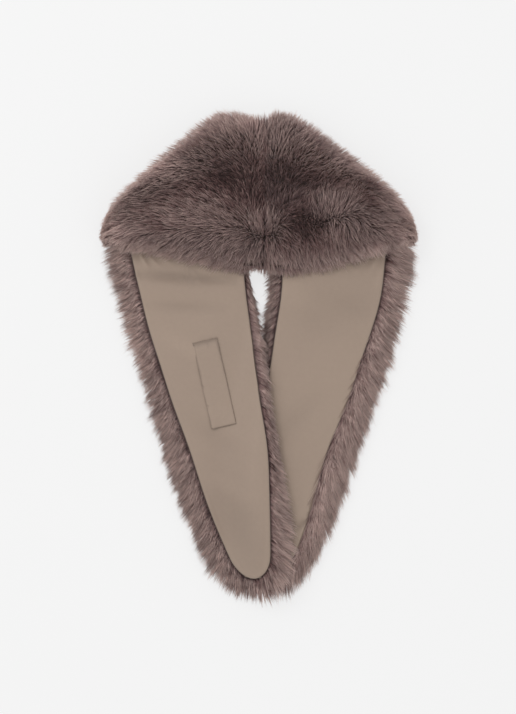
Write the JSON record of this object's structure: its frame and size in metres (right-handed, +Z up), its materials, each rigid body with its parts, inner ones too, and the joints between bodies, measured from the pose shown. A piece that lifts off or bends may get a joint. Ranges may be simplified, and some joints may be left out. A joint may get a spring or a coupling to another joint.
{
  "type": "fur collar wrap",
  "caption": "Faux-fur collar wrap laid flat: neck stretch fur side up, both tapered arms lining side up with pile showing round the edges, and a keeper strap on one lining.",
  "frame": {"origin": "centre of the part's box, on the surface that the wrap lies on", "axes": "+X to the right as it lies, +Y from the arm tips towards the neck, +Z up from the surface"},
  "size_m": [0.3192, 0.494, 0.0461],
  "materials": {
    "fur": "long soft pile, grey-brown taupe with paler pinkish tips",
    "lining": "smooth taupe twill with a slight satin sheen"
  },
  "bodies": {
    "root": {"fur_neck_left": "fur", "fur_neck_right": "fur", "fur_arm_left": "fur", "fur_arm_right": "fur", "lining_left": "lining", "lining_right": "lining", "keeper_strap": "lining"}
  },
  "joints": []
}
